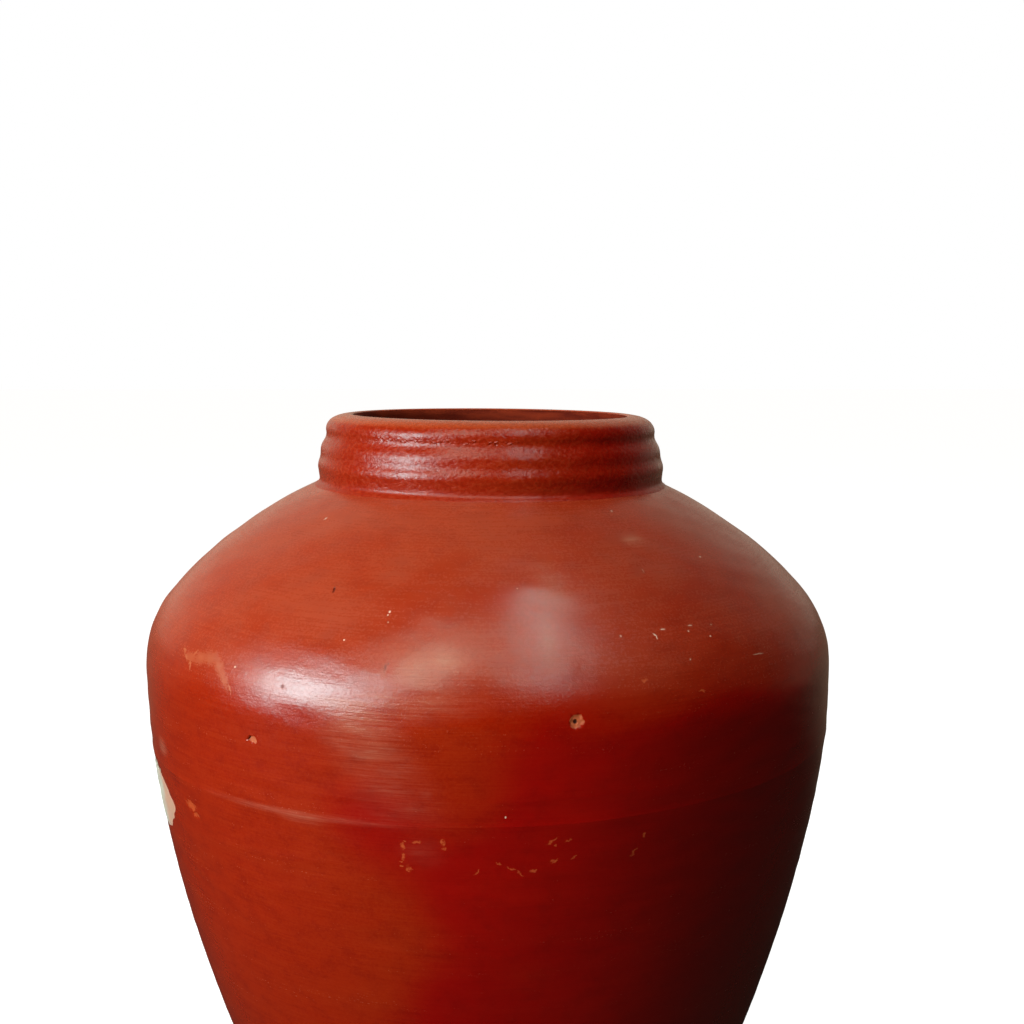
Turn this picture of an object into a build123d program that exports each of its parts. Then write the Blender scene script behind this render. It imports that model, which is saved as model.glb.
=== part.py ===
from build123d import *
from math import atan2, cos, degrees, hypot, radians, sin, sqrt
import os

# A large terracotta water jar, hand built in sections that are luted together with soft clay.
# All but the patch are rings about the upright axis, each drawn as a half section: a point is a
# radius and a height. The foot stands on height zero, and lengths are in millimetres.

# Body, from the foot up
foot_radius = 105.0
foot_edge_round = 5.0
lower_wall_height = 297.0
lower_wall_curve = 800.0
seam_step = 1.2  # how far the body is drawn in at the seam
band_rise = 41.0  # from the seam to the widest height
belly_radius = 203.0
shoulder_round = 62.0
shoulder_rise = 101.0  # from the widest height to the root of the neck
crown_curve = 245.0
wall_thickness = 12.0

# Base slab, whose bevelled rim carries the lower wall
slab_edge_height = 7.0
slab_bevel_height = 7.0

# Neck, three coils on the opening of the shoulder
mouth_radius = 80.0
lip_thickness = 18.0
lip_inner_round = 3.5
lip_outer_round = 8.0
lip_coil_height = 12.8
upper_coil_height = 12.0
lower_coil_height = 12.0
root_flare_height = 4.2
lip_groove_depth = 1.0
upper_rib_reach = 3.6  # the ribs and the root stand this far outside the lip
lower_rib_reach = 5.4
root_reach = 7.7
rib_groove_depth = 0.8
root_groove_depth = 1.2
coil_dish = 2.0  # each coil sits in a dish this deep in what is below it

# Joint between the two walls, a V groove filled from outside
scarf_rise = 3.0
seam_coil_height = 12.0
seam_coil_depth = 6.5
seam_coil_bulge = 0.7

# Soft coils pressed over the joints from inside
base_coil_size = 18.0
inner_coil_height = 44.0
inner_coil_thickness = 5.0

# White filler in a spall on the left flank
filler_length = 66.0
filler_height = 30.0
filler_depth = 2.6
filler_below_seam = 23.0  # from the seam down to the patch's middle
filler_bearing = 199.0  # degrees about the axis, from the right-hand side

overrun = 20.0  # how far a cutting region runs past what it cuts

# Shares that shape the small curves
edge_round_share = 0.8  # most of the slab's edge that its round may take
rib_height_share = 0.6  # where a rib stands out most, up its coil
cove_share = 0.35  # how far the cove is hollowed, from its chord towards the corner


def bearing(centre, point):
    """Angle in degrees at which a point lies from a centre."""
    return degrees(atan2(point[1] - centre[1], point[0] - centre[0]))


def at_bearing(centre, radius, angle):
    """Point at a distance and an angle from a centre."""
    return (centre[0] + radius * cos(radians(angle)), centre[1] + radius * sin(radians(angle)))


def between(first, second, share):
    """Point that lies a share of the way from the first point to the second."""
    return (first[0] + share * (second[0] - first[0]), first[1] + share * (second[1] - first[1]))


def circles_meet(first, first_radius, second, second_radius):
    """Where two circles meet, on the left of the way from the first centre to the second."""
    run = second[0] - first[0]
    rise = second[1] - first[1]
    apart = hypot(run, rise)
    along = (apart**2 + first_radius**2 - second_radius**2) / (2 * apart)
    aside = sqrt(first_radius**2 - along**2)
    return (
        first[0] + (along * run - aside * rise) / apart,
        first[1] + (along * rise + aside * run) / apart,
    )


def radius_at(centre, curve, height):
    """Distance from the jar's axis at which a circle's right-hand side reaches a height."""
    return centre[0] + sqrt(curve**2 - (height - centre[1]) ** 2)


def height_at(centre, curve, radius):
    """Height at which a circle's upper side reaches a distance from the jar's axis."""
    return centre[1] + sqrt(curve**2 - (radius - centre[0]) ** 2)


def region(*points):
    """Plane region inside a closed run of points."""
    return make_face(Polyline(*points, close=True))


def capped(start, middle, end, *back):
    """Plane region between an arc through three points and the straight runs that close it."""
    return make_face([ThreePointArc(start, middle, end), Polyline(end, *back, start)])


def ring(section):
    """Solid swept by a half section once about the jar's axis."""
    return revolve(Plane.XZ * section, Axis.Z)


# Heights of the joints
slab_thickness = slab_edge_height + slab_bevel_height
seam_height = lower_wall_height
seam_top = seam_height + seam_coil_height
belly_height = seam_height + band_rise
root_height = belly_height + shoulder_rise
lower_coil_foot = root_height + root_flare_height
coil_joint_height = lower_coil_foot + lower_coil_height
lip_joint_height = coil_joint_height + upper_coil_height
crest_height = lip_joint_height + lip_coil_height

# Radii of the neck
lip_radius = mouth_radius + lip_thickness
crest_radius = mouth_radius + lip_inner_round
lip_groove_radius = lip_radius - lip_groove_depth
upper_rib_radius = lip_radius + upper_rib_reach
rib_groove_radius = upper_rib_radius - rib_groove_depth
lower_rib_radius = lip_radius + lower_rib_reach
root_groove_radius = lower_rib_radius - root_groove_depth
root_radius = lip_radius + root_reach

# The outside is four arcs, each tangent to the next above the seam
foot = (foot_radius, 0)
seam = (belly_radius - seam_step, seam_height)
root = (root_radius, root_height)
lower_centre = circles_meet(foot, lower_wall_curve, seam, lower_wall_curve)
band_curve = (seam_step**2 + band_rise**2) / (2 * seam_step)
band_centre = (belly_radius - band_curve, belly_height)
round_centre = (belly_radius - shoulder_round, belly_height)
crown_centre = circles_meet(round_centre, crown_curve - shoulder_round, root, crown_curve)
seam_bearing = bearing(band_centre, seam)
round_turn = bearing(crown_centre, round_centre)


def body_within(inset):
    """Half section of the body with its hollow, drawn in by an inset from the skin."""
    band_foot = at_bearing(band_centre, band_curve - inset, seam_bearing)
    lower_foot = (radius_at(lower_centre, lower_wall_curve - inset, 0), 0)
    opening = (mouth_radius, height_at(crown_centre, crown_curve - inset, mouth_radius))
    crown_sweep = bearing(crown_centre, opening) - round_turn
    outline = [
        RadiusArc(lower_foot, band_foot, -(lower_wall_curve - inset)),
        CenterArc(band_centre, band_curve - inset, seam_bearing, -seam_bearing),
        CenterArc(round_centre, shoulder_round - inset, 0, round_turn),
        CenterArc(crown_centre, crown_curve - inset, round_turn, crown_sweep),
        Polyline(opening, (0, opening[1]), (0, 0), lower_foot),
    ]
    return make_face(outline)


def inner_wall(height):
    """Point of the lower wall's inner face at a height."""
    return (radius_at(lower_centre, lower_wall_curve - wall_thickness, height), height)


def slab_space():
    """Everything under the top of the base slab and its bevelled rim."""
    corner = inner_wall(slab_thickness)
    rim_radius = corner[0] + wall_thickness
    return region(
        (0, 0),
        (belly_radius, 0),
        (belly_radius, slab_edge_height),
        (rim_radius, slab_edge_height),
        corner,
        (0, slab_thickness),
    )


def slab_section(pot):
    """The slab's half section, with the outer edge of its underside rounded."""
    slab = pot & slab_space()
    underside = slab.vertices().filter_by(lambda vertex: vertex.Y < slab_edge_height / 2)
    edge = underside.sort_by(Axis.X)[-1]
    return fillet(edge, min(foot_edge_round, edge_round_share * slab_edge_height))


def base_coil_section(hollow):
    """Cove pressed into the corner between the slab and the lower wall."""
    corner = inner_wall(slab_thickness)
    start = (corner[0] - base_coil_size, slab_thickness)
    end = inner_wall(slab_thickness + base_coil_size)
    middle = between(between(start, end, 1 / 2), corner, cove_share)
    back = (end[0] + wall_thickness, end[1])
    return capped(start, middle, end, back, (back[0], slab_thickness)) & hollow


def above_seam():
    """Everything above the slanting joint between the lower wall and the shoulder wall."""
    middle = (seam_height + seam_top) / 2
    inner_height = middle + scarf_rise
    top = crest_height + overrun
    return region(
        (0, inner_height),
        (seam[0] - wall_thickness, inner_height),
        (seam[0] - seam_coil_depth, middle),
        (belly_radius + overrun, middle),
        (belly_radius + overrun, top),
        (0, top),
    )


def seam_coil_section():
    """Coil that fills the V groove between the two walls and stands a little proud of them."""
    end = (radius_at(band_centre, band_curve, seam_top), seam_top)
    chord_middle = between(seam, end, 1 / 2)
    middle = (chord_middle[0] + seam_coil_bulge, chord_middle[1])
    return capped(seam, middle, end, (seam[0] - seam_coil_depth, chord_middle[1]))


def inner_coil_section(hollow):
    """Low coil smeared over the joint of the two walls from inside."""
    middle_height = (seam_height + seam_top) / 2
    start = inner_wall(middle_height - inner_coil_height / 2)
    end_height = middle_height + inner_coil_height / 2
    end = (radius_at(band_centre, band_curve - wall_thickness, end_height), end_height)
    face_radius = radius_at(band_centre, band_curve - wall_thickness, middle_height)
    middle = (face_radius - inner_coil_thickness, middle_height)
    return capped(start, middle, end, (belly_radius, end_height), (belly_radius, start[1])) & hollow


def neck_section():
    """Half section of the neck's three coils together, down to their seat in the shoulder."""
    lip_side = (lip_radius, crest_height - lip_outer_round)
    lip_centre = (crest_radius, lip_side[1])
    lip_foot = (lip_groove_radius, lip_joint_height)
    upper_rib = (upper_rib_radius, coil_joint_height + rib_height_share * upper_coil_height)
    upper_foot = (rib_groove_radius, coil_joint_height)
    lower_rib = (lower_rib_radius, lower_coil_foot + rib_height_share * lower_coil_height)
    lower_foot = (root_groove_radius, lower_coil_foot)
    seat_inner = (mouth_radius, height_at(crown_centre, crown_curve, mouth_radius))
    seat_chord = between(root, seat_inner, 1 / 2)
    seat_middle = (seat_chord[0], seat_chord[1] - coil_dish)
    mouth_top = (mouth_radius, crest_height - lip_inner_round)
    outline = [
        CenterArc((crest_radius, mouth_top[1]), lip_inner_round, 90, 90),
        EllipticalCenterArc(lip_centre, lip_radius - crest_radius, lip_outer_round, 0, arc_size=90),
        Line(lip_side, lip_foot),
        ThreePointArc(lip_foot, upper_rib, upper_foot),
        ThreePointArc(upper_foot, lower_rib, lower_foot),
        Line(lower_foot, root),
        ThreePointArc(root, seat_middle, seat_inner),
        Line(seat_inner, mouth_top),
    ]
    return make_face(outline)


def above_joint(groove_radius, height):
    """Everything above the dished joint whose outer end lies in a groove of the neck."""
    inner = (mouth_radius, height)
    outer = (groove_radius, height)
    middle = ((mouth_radius + groove_radius) / 2, height - coil_dish)
    top = crest_height + overrun
    outside = root_radius + overrun
    inside = mouth_radius - overrun
    return capped(inner, middle, outer, (outside, height), (outside, top), (inside, top), (inside, height))


def filler_space():
    """Oval space that the filler fills, square to the flank and deeper than the wall."""
    height = seam_height - filler_below_seam
    across = (cos(radians(filler_bearing)), sin(radians(filler_bearing)), 0)
    along = (-across[1], across[0], 0)
    distance = radius_at(lower_centre, lower_wall_curve, height)
    place = Plane(origin=(distance * across[0], distance * across[1], height), x_dir=along, z_dir=across)
    return extrude(place * Ellipse(filler_length / 2, filler_height / 2), wall_thickness, both=True)


# Half sections of the rings
skin = body_within(0)
under_slab_top = region((0, 0), (belly_radius, 0), (belly_radius, slab_thickness), (0, slab_thickness))
opening = region((0, slab_thickness), (mouth_radius, slab_thickness), (mouth_radius, crest_height), (0, crest_height))
hollow = body_within(wall_thickness) - under_slab_top
pot = skin - hollow - opening
neck = neck_section()
seam_coil = seam_coil_section()
walls = pot - slab_space() - seam_coil
above_coils = above_joint(rib_groove_radius, coil_joint_height)
above_neck = above_joint(lip_groove_radius, lip_joint_height)

# The filler is what its space holds of the lower wall's outermost layer
lower_wall = ring(walls - above_seam())
filler_patch = lower_wall & filler_space() & ring(skin - body_within(filler_depth))

parts = {
    "base_slab": ring(slab_section(pot)),
    "base_coil": ring(base_coil_section(hollow)),
    "lower_wall": lower_wall - filler_patch,
    "filler_patch": filler_patch,
    "seam_coil": ring(seam_coil),
    "inner_seam_coil": ring(inner_coil_section(hollow)),
    "shoulder_wall": ring((walls & above_seam()) - neck),
    "lower_neck_coil": ring(neck - above_coils),
    "upper_neck_coil": ring((neck & above_coils) - above_neck),
    "lip_coil": ring(neck & above_neck),
}

os.makedirs("parts", exist_ok=True)
for name, solid in parts.items():
    export_step(solid, f"parts/{name}.step")
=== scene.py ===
# %% [markdown]
# A large terracotta water jar. The real jar is built by hand in sections that are luted together, coated
# with red slip, rubbed with a pebble until it shines, and fired. The frame has the solids of its sections.
# This lesson models each one again with the marks of the hand, and gives it its finish.

# %% Load the frame and measure it
import math

import bpy
import numpy as np
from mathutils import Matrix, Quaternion, Vector


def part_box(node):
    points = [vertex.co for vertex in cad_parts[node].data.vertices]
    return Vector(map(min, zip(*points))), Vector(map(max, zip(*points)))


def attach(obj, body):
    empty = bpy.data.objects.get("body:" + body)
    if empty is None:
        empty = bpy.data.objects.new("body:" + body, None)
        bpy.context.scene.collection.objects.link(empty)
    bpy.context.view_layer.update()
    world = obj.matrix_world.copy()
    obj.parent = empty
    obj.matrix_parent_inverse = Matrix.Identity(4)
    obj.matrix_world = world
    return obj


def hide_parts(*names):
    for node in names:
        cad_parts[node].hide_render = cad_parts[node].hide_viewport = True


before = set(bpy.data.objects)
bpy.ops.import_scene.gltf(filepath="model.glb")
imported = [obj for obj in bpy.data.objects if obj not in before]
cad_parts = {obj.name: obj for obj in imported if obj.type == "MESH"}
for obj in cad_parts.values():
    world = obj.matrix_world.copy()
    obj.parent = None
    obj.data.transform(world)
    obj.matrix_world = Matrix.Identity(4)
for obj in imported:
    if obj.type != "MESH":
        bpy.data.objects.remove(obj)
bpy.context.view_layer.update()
mm = 0.001
crest_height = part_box("lip_coil")[1].z
belly_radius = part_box("shoulder_wall")[1].x
print("jar", round(crest_height / mm), "mm tall,", round(2 * belly_radius / mm), "mm across")

# %% [markdown]
# The camera comes first, because every later choice is judged through it. A round jar gives its camera
# away: the ellipses of lip and belly open by different amounts, which tells how far away and how high it
# stood. Here it stood less than a metre off, a hand's breadth above the lip, and looked slightly down.

# %% Camera
camera_distance = 784 * mm
camera_above_crest = 34.3 * mm
pitch_down = math.radians(6.82)
turn_right = math.radians(1.04)
focal_pixels = 1300
picture_pixels = 1024

bpy.ops.object.camera_add(
    location=(0, -camera_distance, crest_height + camera_above_crest),
    rotation=(math.pi / 2 - pitch_down, 0, -turn_right),
)
camera = bpy.context.object
camera.data.lens = camera.data.sensor_width * focal_pixels / picture_pixels
bpy.context.scene.camera = camera
print("lens", round(camera.data.lens, 1), "mm")

# %% [markdown]
# Light is the other half of a shiny surface. The jar stands near tall windows on its left, so the belly
# carries their soft reflections and falls away to a deep red on the right. Area lamps do this well: they
# are soft, and show in the gloss. Floor and world look white to the camera, and are duller in the light
# that they throw.


# %% A small class for shader maths
x_axis, y_axis, z_axis = range(3)


class Socket:
    """A value in a node tree, on which arithmetic adds Math nodes."""

    def __init__(self, tree, output):
        self.tree = tree
        self.output = output

    def node(self, kind, inputs, out=0, **settings):
        """Adds any node: its settings first, then the values or links of its sockets."""
        made = self.tree.nodes.new(kind)
        for name, value in settings.items():
            setattr(made, name, value)
        for name, value in inputs.items():
            if isinstance(value, Socket):
                self.tree.links.new(value.output, made.inputs[name])
            else:
                made.inputs[name].default_value = value
        return Socket(self.tree, made.outputs[out] if made.outputs else None)

    def part(self, axis):
        """One of the three numbers of a place or a direction."""
        return self.node("ShaderNodeSeparateXYZ", {0: self}, out=axis)

    def maths(self, operation, *values):
        return self.node("ShaderNodeMath", dict(enumerate(values)), operation=operation)

    def __add__(self, other):
        return self.maths("ADD", self, other)

    def __radd__(self, other):
        return self.maths("ADD", other, self)

    def __sub__(self, other):
        return self.maths("SUBTRACT", self, other)

    def __rsub__(self, other):
        return self.maths("SUBTRACT", other, self)

    def __mul__(self, other):
        return self.maths("MULTIPLY", self, other)

    def __rmul__(self, other):
        return self.maths("MULTIPLY", other, self)

    def least(self, other):
        return self.maths("MINIMUM", self, other)

    def most(self, other):
        return self.maths("MAXIMUM", self, other)

    def between(self, low, high):
        """Smooth rise from 0 at low to 1 at high. It falls where low is the larger."""
        if low > high:
            return 1 - self.between(high, low)
        inputs = {"Value": self, "From Min": low, "From Max": high}
        return self.node("ShaderNodeMapRange", inputs, interpolation_type="SMOOTHSTEP", clamp=True)

    def mix(self, first, second):
        """Colour that goes from the first to the second as this value goes from 0 to 1."""
        inputs = {0: self, 6: first, 7: second}
        return self.node("ShaderNodeMix", inputs, out=2, data_type="RGBA")


def rgb(*levels):
    """A colour written as on a screen, from 0 to 255, as the linear colour that nodes use."""
    linear = [((c / 255 + 0.055) / 1.055) ** 2.4 if c > 10 else c / 255 / 12.92 for c in levels]
    return (*linear, 1)


def start_material(name):
    """A new material, and a Socket on its Object coordinates."""
    material = bpy.data.materials.new(name)
    material.use_nodes = True
    tree = material.node_tree
    return material, Socket(tree, tree.nodes.new("ShaderNodeTexCoord").outputs["Object"])


def feed(material, **sockets):
    """Sets or links the sockets of a material's shader, named with underscores for spaces."""
    tree = material.node_tree
    for name, value in sockets.items():
        socket = tree.nodes["Principled BSDF"].inputs[name.replace("_", " ")]
        if isinstance(value, Socket):
            tree.links.new(value.output, socket)
        else:
            socket.default_value = value
    print(material.name, "has", len(tree.nodes), "nodes")


# %% The world
seen_white = (1, 1, 1, 1)
dark_ahead = (0.010, 0.008, 0.007, 1)
warm_behind = (0.74, 0.59, 0.45, 1)
behind_shares = (0.2, 1.0)
left_shares = (0.3, -0.6)
left_gain_share = 0.25

world = bpy.data.worlds.new("studio")
bpy.context.scene.world = world
world.use_nodes = True
sky = world.node_tree
sky.nodes.clear()
to_camera = Socket(sky, sky.nodes.new("ShaderNodeLightPath").outputs["Is Camera Ray"])
direction = Socket(sky, sky.nodes.new("ShaderNodeTexCoord").outputs["Generated"])
leftward = direction.part(x_axis).between(*left_shares)
behindward = direction.part(y_axis).between(*behind_shares)
behind_share = behindward * (1 - left_gain_share + left_gain_share * leftward)
surround = behind_share.mix(dark_ahead, warm_behind)
background = to_camera.node("ShaderNodeBackground", {"Color": to_camera.mix(surround, seen_white)})
background.node("ShaderNodeOutputWorld", {"Surface": background})
print("world has", len(sky.nodes), "nodes")

# %% The floor
floor_size = 40
floor_thrown = (0.030, 0.010, 0.005, 1)
floor_white = (0.9, 0.9, 0.9, 1)
glow_thrown = (0.19, 0.125, 0.08, 1)
glow_strength = 1.9
glow_reach = (0.3, 1.5)
glow_most_share = 0.5

bpy.ops.mesh.primitive_plane_add(size=floor_size, location=(0, 0, 0))
floor = bpy.context.object
floor.name = "floor"
floor_material, floor_place = start_material("pale_floor")
floor_tree = floor_material.node_tree
floor_seen = Socket(floor_tree, floor_tree.nodes.new("ShaderNodeLightPath").outputs["Is Camera Ray"])
feed(floor_material, Base_Color=floor_seen.mix(floor_thrown, floor_white), Roughness=0.9)
floor_far = floor_place.part(y_axis).between(*glow_reach)
glow_colour = floor_seen.mix(glow_thrown, seen_white)
glow = floor_seen.node("ShaderNodeEmission", {"Color": glow_colour, "Strength": glow_strength})
glow_share = (floor_seen + floor_far).least(1.0) * glow_most_share
paint = Socket(floor_tree, floor_tree.nodes["Principled BSDF"].outputs[0])
blend = floor_seen.node("ShaderNodeMixShader", {0: glow_share, 1: paint, 2: glow})
floor_tree.links.new(blend.output, floor_tree.nodes["Material Output"].inputs["Surface"])
floor.data.materials.append(floor_material)
print("floor", floor_size, "m wide")

# %% The lamps
lamp_target = Vector((0, 0, 0.36))
cool_glass = (0.83, 0.97, 1.0)
# For each lamp: its bearing and climb in degrees, its distance, width and height, its watts and its roll.
lamps = {
    "window": (-56, 16, 2.0, 1.25, 0.78, 31, 17),
    "window_pane": (-57.5, 16, 1.98, 0.75, 0.5, 11, 17),
    "bright_wall": (-57, 20, 2.1, 1.9, 1.5, 20, 0),
    "high_window": (-24, 47, 2.0, 0.6, 1.5, 14, 0),
    "skylight": (26, 54, 2.0, 0.24, 2.2, 14.5, -17),
}
lamp_colours = {
    "window": cool_glass,
    "window_pane": cool_glass,
    "bright_wall": (0.90, 1.0, 0.97),
    "high_window": (1.0, 1.0, 0.82),
    "skylight": (0.80, 1.0, 0.97),
}


def window_light(name, bearing, climb, away, wide, tall, watts, roll):
    """An area lamp that faces the belly from a bearing, counted from the camera's side towards the right."""
    turn = math.radians(bearing)
    lift = math.radians(climb)
    out = Vector((math.sin(turn) * math.cos(lift), -math.cos(turn) * math.cos(lift), math.sin(lift)))
    bpy.ops.object.light_add(type="AREA", location=lamp_target + out * away)
    lamp = bpy.context.object
    lamp.name = name
    lamp.rotation_mode = "QUATERNION"
    lamp.rotation_quaternion = (-out).to_track_quat("-Z", "Y") @ Quaternion((0, 0, 1), math.radians(roll))
    lamp.data.shape = "RECTANGLE"
    lamp.data.size, lamp.data.size_y = wide, tall
    lamp.data.energy = watts
    lamp.data.color = lamp_colours[name]


for name, setting in lamps.items():
    window_light(name, *setting)
bpy.context.scene.view_settings.view_transform = "Standard"
print("lamps", list(lamps))

# %% [markdown]
# Every section of the jar is a ring about one upright axis, so each is drawn as a half section and spun.
# The outside of the body is four arcs: the long lower wall, a nearly straight band above the seam, the
# tight round of the shoulder and the flatter crown. The drawing is in millimetres, as a potter's template
# would be.

# %% The template of the body
foot_radius = 105.0
seam_radius = 201.8
seam_height = 297.0
seam_top = 309.0
widest_radius = 203.0
belly_height = 338.0
root_radius = 105.7
root_height = 439.0
mouth_radius = 80.0
wall = 12.0
lower_curve = 800.0
shoulder_curve = 62.0
crown_curve = 245.0
hair = 0.001


def circles_meet(first, first_radius, second, second_radius):
    """Where two circles meet, on the left of the way from the first centre to the second."""
    run, climb = second[0] - first[0], second[1] - first[1]
    apart = math.hypot(run, climb)
    along = (apart**2 + first_radius**2 - second_radius**2) / (2 * apart)
    aside = math.sqrt(first_radius**2 - along**2)
    return first[0] + (along * run - aside * climb) / apart, first[1] + (along * climb + aside * run) / apart


foot = (foot_radius, 0.0)
seam = (seam_radius, seam_height)
root = (root_radius, root_height)
seam_step = widest_radius - seam_radius
band_curve = (seam_step**2 + (belly_height - seam_height) ** 2) / (2 * seam_step)
round_middle = (widest_radius - shoulder_curve, belly_height)
crown_middle = circles_meet(round_middle, crown_curve - shoulder_curve, root, crown_curve)
lower_arc = (circles_meet(foot, lower_curve, seam, lower_curve), lower_curve)
band_arc = ((widest_radius - band_curve, belly_height), band_curve)
round_arc = (round_middle, shoulder_curve)
crown_arc = (crown_middle, crown_curve)
crown_turn = math.atan2(round_middle[1] - crown_middle[1], round_middle[0] - crown_middle[0])
round_top = belly_height + shoulder_curve * math.sin(crown_turn)


def arc_at(height, inset=0.0):
    """The arc of the skin that holds at a height, for a line drawn in by an inset."""
    if height <= seam_height:
        return lower_arc
    if height <= belly_height:
        return band_arc
    top = round_top - inset * math.sin(crown_turn)
    return round_arc if height <= top else crown_arc


def body_radius(height, inset=0.0):
    """Radius of the body's skin at a height, or of a line drawn in from it."""
    (middle, level), curve = arc_at(height, inset)
    return middle + math.sqrt((curve - inset) ** 2 - (height - level) ** 2)


def crown_height(radius, inset=0.0):
    """Height of the crown at a radius, or of a line drawn in from it."""
    (middle, level), curve = crown_arc
    return level + math.sqrt((curve - inset) ** 2 - (radius - middle) ** 2)


def body_line(low, high, step, inset=0.0):
    """Points of the body's skin from a low to a high height, each about a step from the last."""
    points = [(body_radius(low, inset), low)]
    while points[-1][1] < high:
        (middle, level), curve = arc_at(points[-1][1] + hair, inset)
        bearing = math.atan2(points[-1][1] - level, points[-1][0] - middle)
        height = level + (curve - inset) * math.sin(bearing + step / (curve - inset))
        points.append((body_radius(height, inset), height))
    points[-1] = (body_radius(high, inset), high)
    return points


def straight(start, end, step):
    """Points along a straight run, without its first one."""
    count = max(1, round(math.dist(start, end) / step))
    return [tuple(a + (b - a) * n / count for a, b in zip(start, end)) for n in range(1, count + 1)]


def through(points, pieces):
    """A smooth line through a few points, with several short pieces between each two."""

    def at(t, a, b, c, d):
        return (2 * b + (c - a) * t + (2 * a - 5 * b + 4 * c - d) * t**2 + (3 * b - a - 3 * c + d) * t**3) / 2

    ends = [points[0], *points, points[-1]]
    line = [points[0]]
    for four in zip(ends, ends[1:], ends[2:], ends[3:]):
        line += [tuple(at(n / pieces, *sides) for sides in zip(*four)) for n in range(1, pieces + 1)]
    return line


def up_to(line, height):
    """The part of a rising line under a height."""
    kept = [point for point in line if point[1] < height]
    low, high = line[len(kept) - 1], line[len(kept)]
    share = (height - low[1]) / (high[1] - low[1])
    return kept + [(low[0] + share * (high[0] - low[0]), height)]


def down_to(line, height):
    """The part of a rising line over a height."""
    kept = [point for point in line if point[1] > height]
    return [up_to(line, height)[-1]] + kept


print("skin radii", [round(body_radius(height), 1) for height in (0, seam_height, belly_height, root_height)])

# %% [markdown]
# The neck is three fat coils, smoothed with a wet finger. On the outside they stay as a lip and two ribs
# with soft grooves between them, so their line runs smoothly through points that follow the silhouette.

# %% The template of the neck
neck_points = [
    (root_radius, root_height),
    (104.2, 440.0),
    (103.3, 441.3),
    (102.9, 443.4),
    (102.95, 446.0),
    (103.4, 449.0),
    (103.1, 451.6),
    (102.3, 453.8),
    (101.8, 455.8),
    (101.6, 458.2),
    (101.3, 460.4),
    (100.5, 462.6),
    (99.3, 464.7),
    (98.4, 466.6),
    (98.1, 468.6),
    (98.25, 470.8),
    (98.0, 472.8),
    (97.1, 474.8),
    (95.2, 476.9),
    (91.8, 478.7),
    (87.8, 479.7),
    (84.2, 480.0),
    (81.4, 479.0),
    (80.2, 477.2),
    (mouth_radius, 475.0),
]
neck_pieces = 4
neck_line = through(neck_points, neck_pieces)
crest_at = max(range(len(neck_line)), key=lambda n: neck_line[n][1])
neck_outside = neck_line[: crest_at + 1]
lower_joint = 455.2
lip_joint = 467.2
coil_dish = 2.0
print("neck drawn with", len(neck_line), "points")

# %% [markdown]
# One function turns a half section into a ring. A plane is merged into one point, which is extruded along
# the section, as by hand with E and a typed length. Spin sweeps the closed line through a twelfth of a
# turn, because it slows down over many steps. The wedge is then copied round the axis and its seams are
# merged.

# %% Spin a half section into a ring
wedges = 12
wedge_steps = 40
wedge_turn = 2 * math.pi / wedges
weld_distance = mm / 50
rings = {}


def turn_ring(node, section, closed=True):
    """Spins a half section, given as radii and heights in millimetres, into the ring of a node."""
    bpy.ops.object.select_all(action="DESELECT")
    bpy.ops.mesh.primitive_plane_add(size=mm, location=(0, 0, 0))
    ring = bpy.context.object
    ring.name = ring.data.name = "jar_" + node
    bpy.ops.object.mode_set(mode="EDIT")
    bpy.ops.mesh.select_all(action="SELECT")
    bpy.ops.mesh.merge(type="CENTER")
    line = [Vector((radius * mm, 0, height * mm)) for radius, height in section]
    bpy.ops.transform.translate(value=line[0])
    for here, there in zip(line, line[1:]):
        bpy.ops.mesh.extrude_region_move(TRANSFORM_OT_translate={"value": there - here})
    if closed:
        bpy.ops.mesh.extrude_region_move(TRANSFORM_OT_translate={"value": line[0] - line[-1]})
    bpy.ops.mesh.select_all(action="SELECT")
    bpy.ops.mesh.remove_doubles(threshold=weld_distance)
    bpy.ops.mesh.select_all(action="SELECT")
    bpy.ops.mesh.spin(steps=wedge_steps, angle=wedge_turn, center=(0, 0, 0), axis=(0, 0, 1))
    bpy.ops.mesh.select_all(action="SELECT")
    for _ in range(wedges - 1):
        bpy.ops.mesh.duplicate()
        bpy.ops.transform.rotate(value=wedge_turn, orient_axis="Z", center_override=(0, 0, 0))
    bpy.ops.mesh.select_all(action="SELECT")
    bpy.ops.mesh.remove_doubles(threshold=weld_distance)
    bpy.ops.mesh.normals_make_consistent(inside=False)
    bpy.ops.mesh.select_all(action="DESELECT")
    bpy.ops.object.mode_set(mode="OBJECT")
    rings[node] = ring
    print(ring.name, "has", len(ring.data.polygons), "faces")


# %% [markdown]
# The potter cuts the body into a bowl and a dome so that each can dry a little before it carries weight.
# Their edges are cut slanting, and joined with a soft coil from outside and a fatter one from inside. Rows
# of points stand close where the wear will be and further apart inside.

# %% The rings of the body
fine = 2.3
coarse = 5.0
inner_step = 9.0
slab_edge = 7.0
slab_top = 14.0
foot_round = [(4.6, 0.0), (2.2, 0.6), (0.3, 2.6)]
groove_depth = 6.5
scarf_rise = 3.0
joint_middle = (seam_height + seam_top) / 2
groove = (seam_radius - groove_depth, joint_middle)
scarf = (seam_radius - wall, joint_middle + scarf_rise)
fine_from = 225.0

slab_side = [(foot_radius - inset, height) for inset, height in foot_round]
slab_side += body_line(foot_round[0][0], slab_edge, fine)
slab_corner = (body_radius(slab_top, wall), slab_top)
underside = [(0.0, 0.0)] + straight((0.0, 0.0), slab_side[0], coarse)
slab = underside[:-1] + slab_side + straight(slab_side[-1], slab_corner, coarse)
slab += straight(slab_corner, (0.0, slab_top), coarse)
turn_ring("base_slab", slab, closed=False)

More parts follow.
